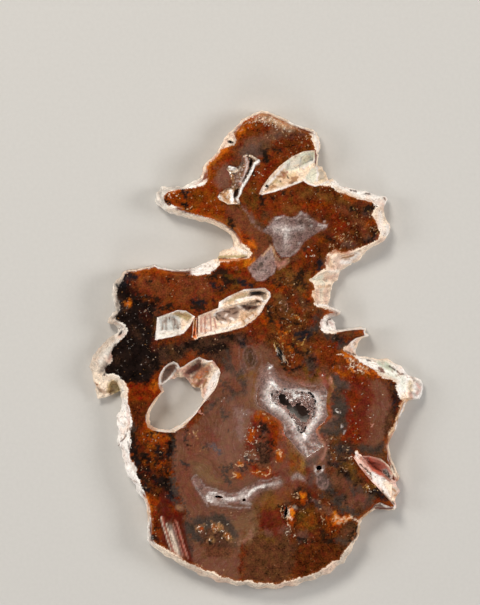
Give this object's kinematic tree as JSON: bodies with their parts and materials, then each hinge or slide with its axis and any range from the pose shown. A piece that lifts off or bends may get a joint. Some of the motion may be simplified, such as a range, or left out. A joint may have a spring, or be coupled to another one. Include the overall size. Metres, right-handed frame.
{
  "type": "polished slab of agate geode",
  "caption": "Irregular polished slab of moss agate, sawn through a quartz-lined hollow, with an oval window through it, crystal casts and a broken rim.",
  "frame": {"origin": "on the sawn back, under the middle of the slab's outline", "axes": "+Z out of the polished face, +Y towards the narrow crown, +X to the right as the polished face is seen"},
  "size_m": [0.1044, 0.15, 0.009],
  "materials": {
    "agate": "polished stone",
    "quartz": "sparkling crystals, sawn flush at the rim",
    "crust": "rough crystal crust"
  },
  "bodies": {
    "root": {"agate_slab": "agate", "quartz_druse": "quartz", "crown_crust": "crust"}
  },
  "joints": []
}
